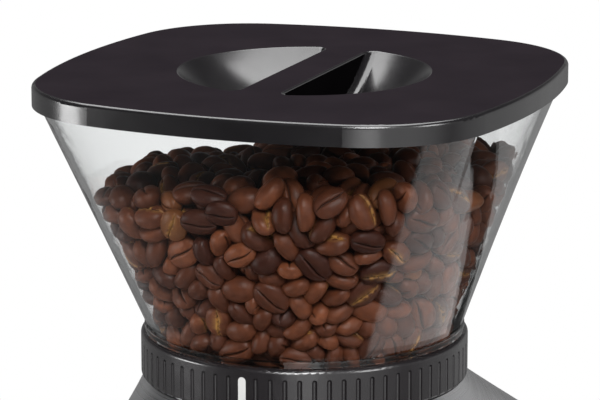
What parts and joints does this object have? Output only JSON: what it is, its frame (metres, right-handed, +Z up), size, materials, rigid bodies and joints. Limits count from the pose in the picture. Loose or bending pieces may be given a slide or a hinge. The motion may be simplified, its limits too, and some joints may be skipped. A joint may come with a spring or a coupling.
{
  "type": "burr coffee grinder",
  "caption": "Countertop burr coffee grinder: lidded clear bean hopper on a ribbed grind-setting ring, brushed steel body, timer dial, push button and slide-out grounds bin.",
  "frame": {"origin": "on the table, under the burr axis, midway between the base's front and the cord inlet's back", "axes": "+Z up along the burr axis, -Y towards the user at the front, +X to the user's right"},
  "size_m": [0.1484, 0.181, 0.2998],
  "materials": {
    "satin_black": "satin moulded black",
    "ring_black": "fine satin black",
    "clear_plastic": "clear, polished",
    "smoke_plastic": "smoked clear, polished",
    "casing_steel": "fine brushed",
    "burr_steel": "ground tool steel",
    "bright_steel": "turned",
    "motor_steel": "zinc plated",
    "gear_nylon": "natural nylon",
    "inner_plastic": "moulded dark grey",
    "gloss_black": "polished black",
    "rubber": "matt",
    "silicone": "soft, translucent grey",
    "felt": "pressed felt",
    "board_green": "solder mask",
    "white_mark": "moulded white",
    "button_metal": "satin plated"
  },
  "bodies": {
    "housing": {"base_plate": "satin_black", "rubber_feet": "rubber", "base_screws": "bright_steel", "steel_casing": "casing_steel", "cord_gland": "rubber", "bin_bay": "inner_plastic", "grounds_chute": "inner_plastic", "front_fascia": "gloss_black", "control_board": "board_green", "board_screws": "bright_steel", "timer_switch": "inner_plastic", "button_switch": "inner_plastic", "gearbox_base": "inner_plastic", "gearbox_cover": "inner_plastic", "gearbox_screws": "bright_steel", "post_screws": "bright_steel", "motor_screws": "bright_steel", "lower_bearing": "bright_steel", "upper_bearing": "bright_steel", "idler_pin": "bright_steel", "motor_can": "motor_steel", "motor_endbell": "inner_plastic", "grind_chamber": "inner_plastic", "dust_seal": "felt"},
    "collar": {"adjusting_ring": "ring_black", "index_mark": "white_mark"},
    "carrier": {"burr_carrier": "inner_plastic", "ring_burr": "burr_steel", "burr_screws": "bright_steel"},
    "hopper": {"bean_hopper": "clear_plastic", "finger_guard": "inner_plastic", "hopper_gasket": "silicone"},
    "lid": {"hopper_lid": "satin_black", "lid_seal": "silicone"},
    "burr_drive": {"burr_shaft": "bright_steel", "main_gear": "gear_nylon", "sweeper": "inner_plastic", "cone_burr": "burr_steel", "burr_nut": "bright_steel"},
    "idler": {"idler_gear": "gear_nylon"},
    "rotor": {"motor_shaft": "bright_steel", "motor_pinion": "bright_steel", "cooling_fan": "inner_plastic"},
    "bin": {"grounds_bin": "smoke_plastic", "bin_lid": "satin_black"},
    "knob": {"timer_knob": "satin_black", "knob_pointer": "white_mark", "timer_stem": "bright_steel"},
    "button": {"start_button": "button_metal"}
  },
  "joints": [
    {"name": "grind_setting", "type": "hinge", "parent": "housing", "child": "collar", "pos_m": [0, 0, 0.2], "axis": [0, 0, 1], "range_deg": [-54, 54]},
    {"name": "burr_height", "type": "slide", "parent": "housing", "child": "carrier", "axis": [0, 0, 1], "range_m": [-0.0007, 0.0007]},
    {"name": "hopper_lift", "type": "slide", "parent": "collar", "child": "hopper", "axis": [0, 0, 1], "range_m": [0, 0.1]},
    {"name": "lid_lift", "type": "slide", "parent": "hopper", "child": "lid", "axis": [0, 0, 1], "range_m": [0, 0.06]},
    {"name": "burr_spin", "type": "hinge", "parent": "housing", "child": "burr_drive", "pos_m": [0, 0, 0.15], "axis": [0, 0, 1], "continuous": true},
    {"name": "idler_spin", "type": "hinge", "parent": "housing", "child": "idler", "pos_m": [0, 0.03125, 0.15], "axis": [0, 0, 1], "continuous": true},
    {"name": "motor_spin", "type": "hinge", "parent": "housing", "child": "rotor", "pos_m": [0, 0.05925, 0.15], "axis": [0, 0, 1], "continuous": true},
    {"name": "bin_slide", "type": "slide", "parent": "housing", "child": "bin", "axis": [0, -1, 0], "range_m": [0, 0.095]},
    {"name": "timer_turn", "type": "hinge", "parent": "housing", "child": "knob", "pos_m": [0, -0.062, 0.14475], "axis": [0, 1, 0], "range_deg": [0, 300]},
    {"name": "start_press", "type": "slide", "parent": "housing", "child": "button", "axis": [0, 1, 0], "range_m": [0, 0.0015], "stiffness_N_per_m": 400}
  ],
  "couplings": [
    {"joint": "burr_height", "follows": "grind_setting", "m_per_rad": 0.0007162},
    {"joint": "idler_spin", "follows": "motor_spin", "ratio": -0.33333},
    {"joint": "burr_spin", "follows": "motor_spin", "ratio": 0.12963}
  ]
}
